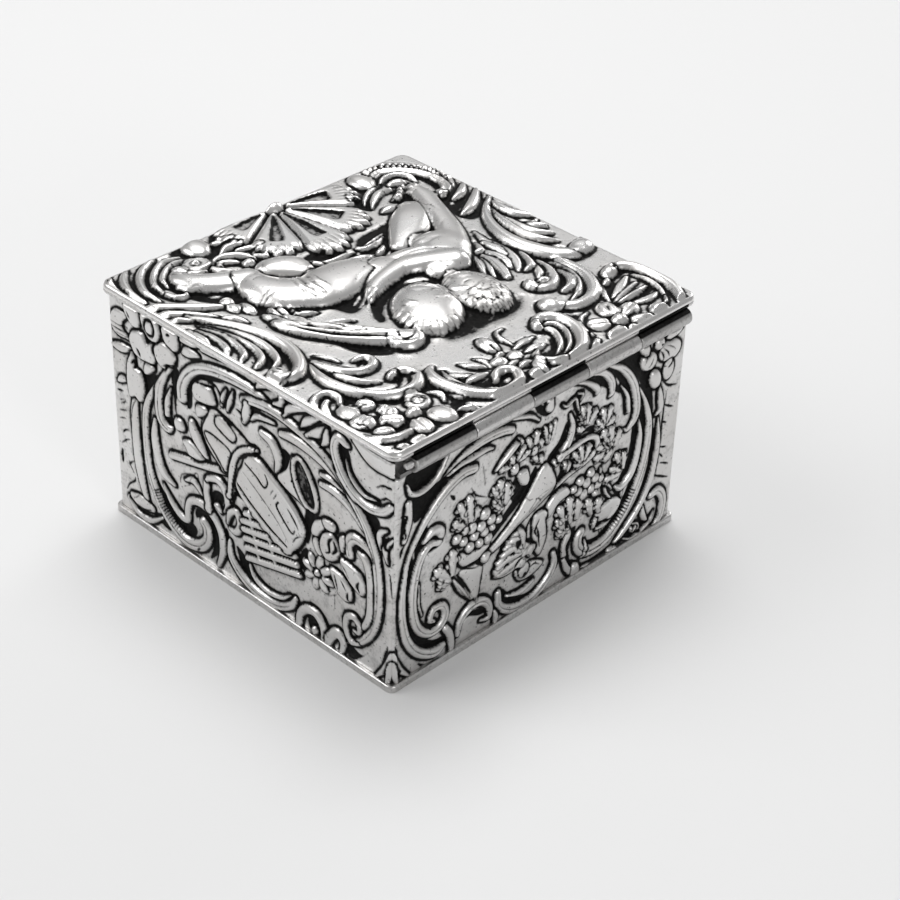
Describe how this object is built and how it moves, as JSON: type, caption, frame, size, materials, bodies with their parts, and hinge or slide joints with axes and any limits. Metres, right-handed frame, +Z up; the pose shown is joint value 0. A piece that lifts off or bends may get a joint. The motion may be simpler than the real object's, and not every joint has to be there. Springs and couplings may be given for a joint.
{
  "type": "hinged box",
  "caption": "Small square silver keepsake box with stamped panels and a lid that swings on a knuckle hinge along its back edge.",
  "frame": {"origin": "middle of the base plate's flat underside", "axes": "+Z up, +Y towards the hinge side, X along the hinge"},
  "size_m": [0.0484, 0.0491, 0.0335],
  "materials": {
    "silver_relief": "stamped silver, bright high points, blackened recesses",
    "silver_plain": "plain soft-polished silver",
    "silver_hinge": "drawn silver tube, lightly tarnished"
  },
  "bodies": {
    "box": {"base_plate": "silver_plain", "front_wall": "silver_relief", "right_wall": "silver_relief", "back_wall": "silver_relief", "left_wall": "silver_relief", "hinge_gutter": "silver_plain", "body_knuckle_1": "silver_hinge", "body_knuckle_2": "silver_hinge", "body_knuckle_3": "silver_hinge", "hinge_pin": "silver_hinge"},
    "lid": {"lid_cover": "silver_relief", "lid_rim": "silver_plain", "lid_bezel_front": "silver_plain", "lid_bezel_right": "silver_plain", "lid_bezel_left": "silver_plain", "lid_knuckle_1": "silver_hinge", "lid_knuckle_2": "silver_hinge"}
  },
  "joints": [
    {"name": "lid_hinge", "type": "hinge", "parent": "box", "child": "lid", "pos_m": [0, 0.02385, 0.02945], "axis": [-1, 0, 0], "range_deg": [0, 160]}
  ]
}
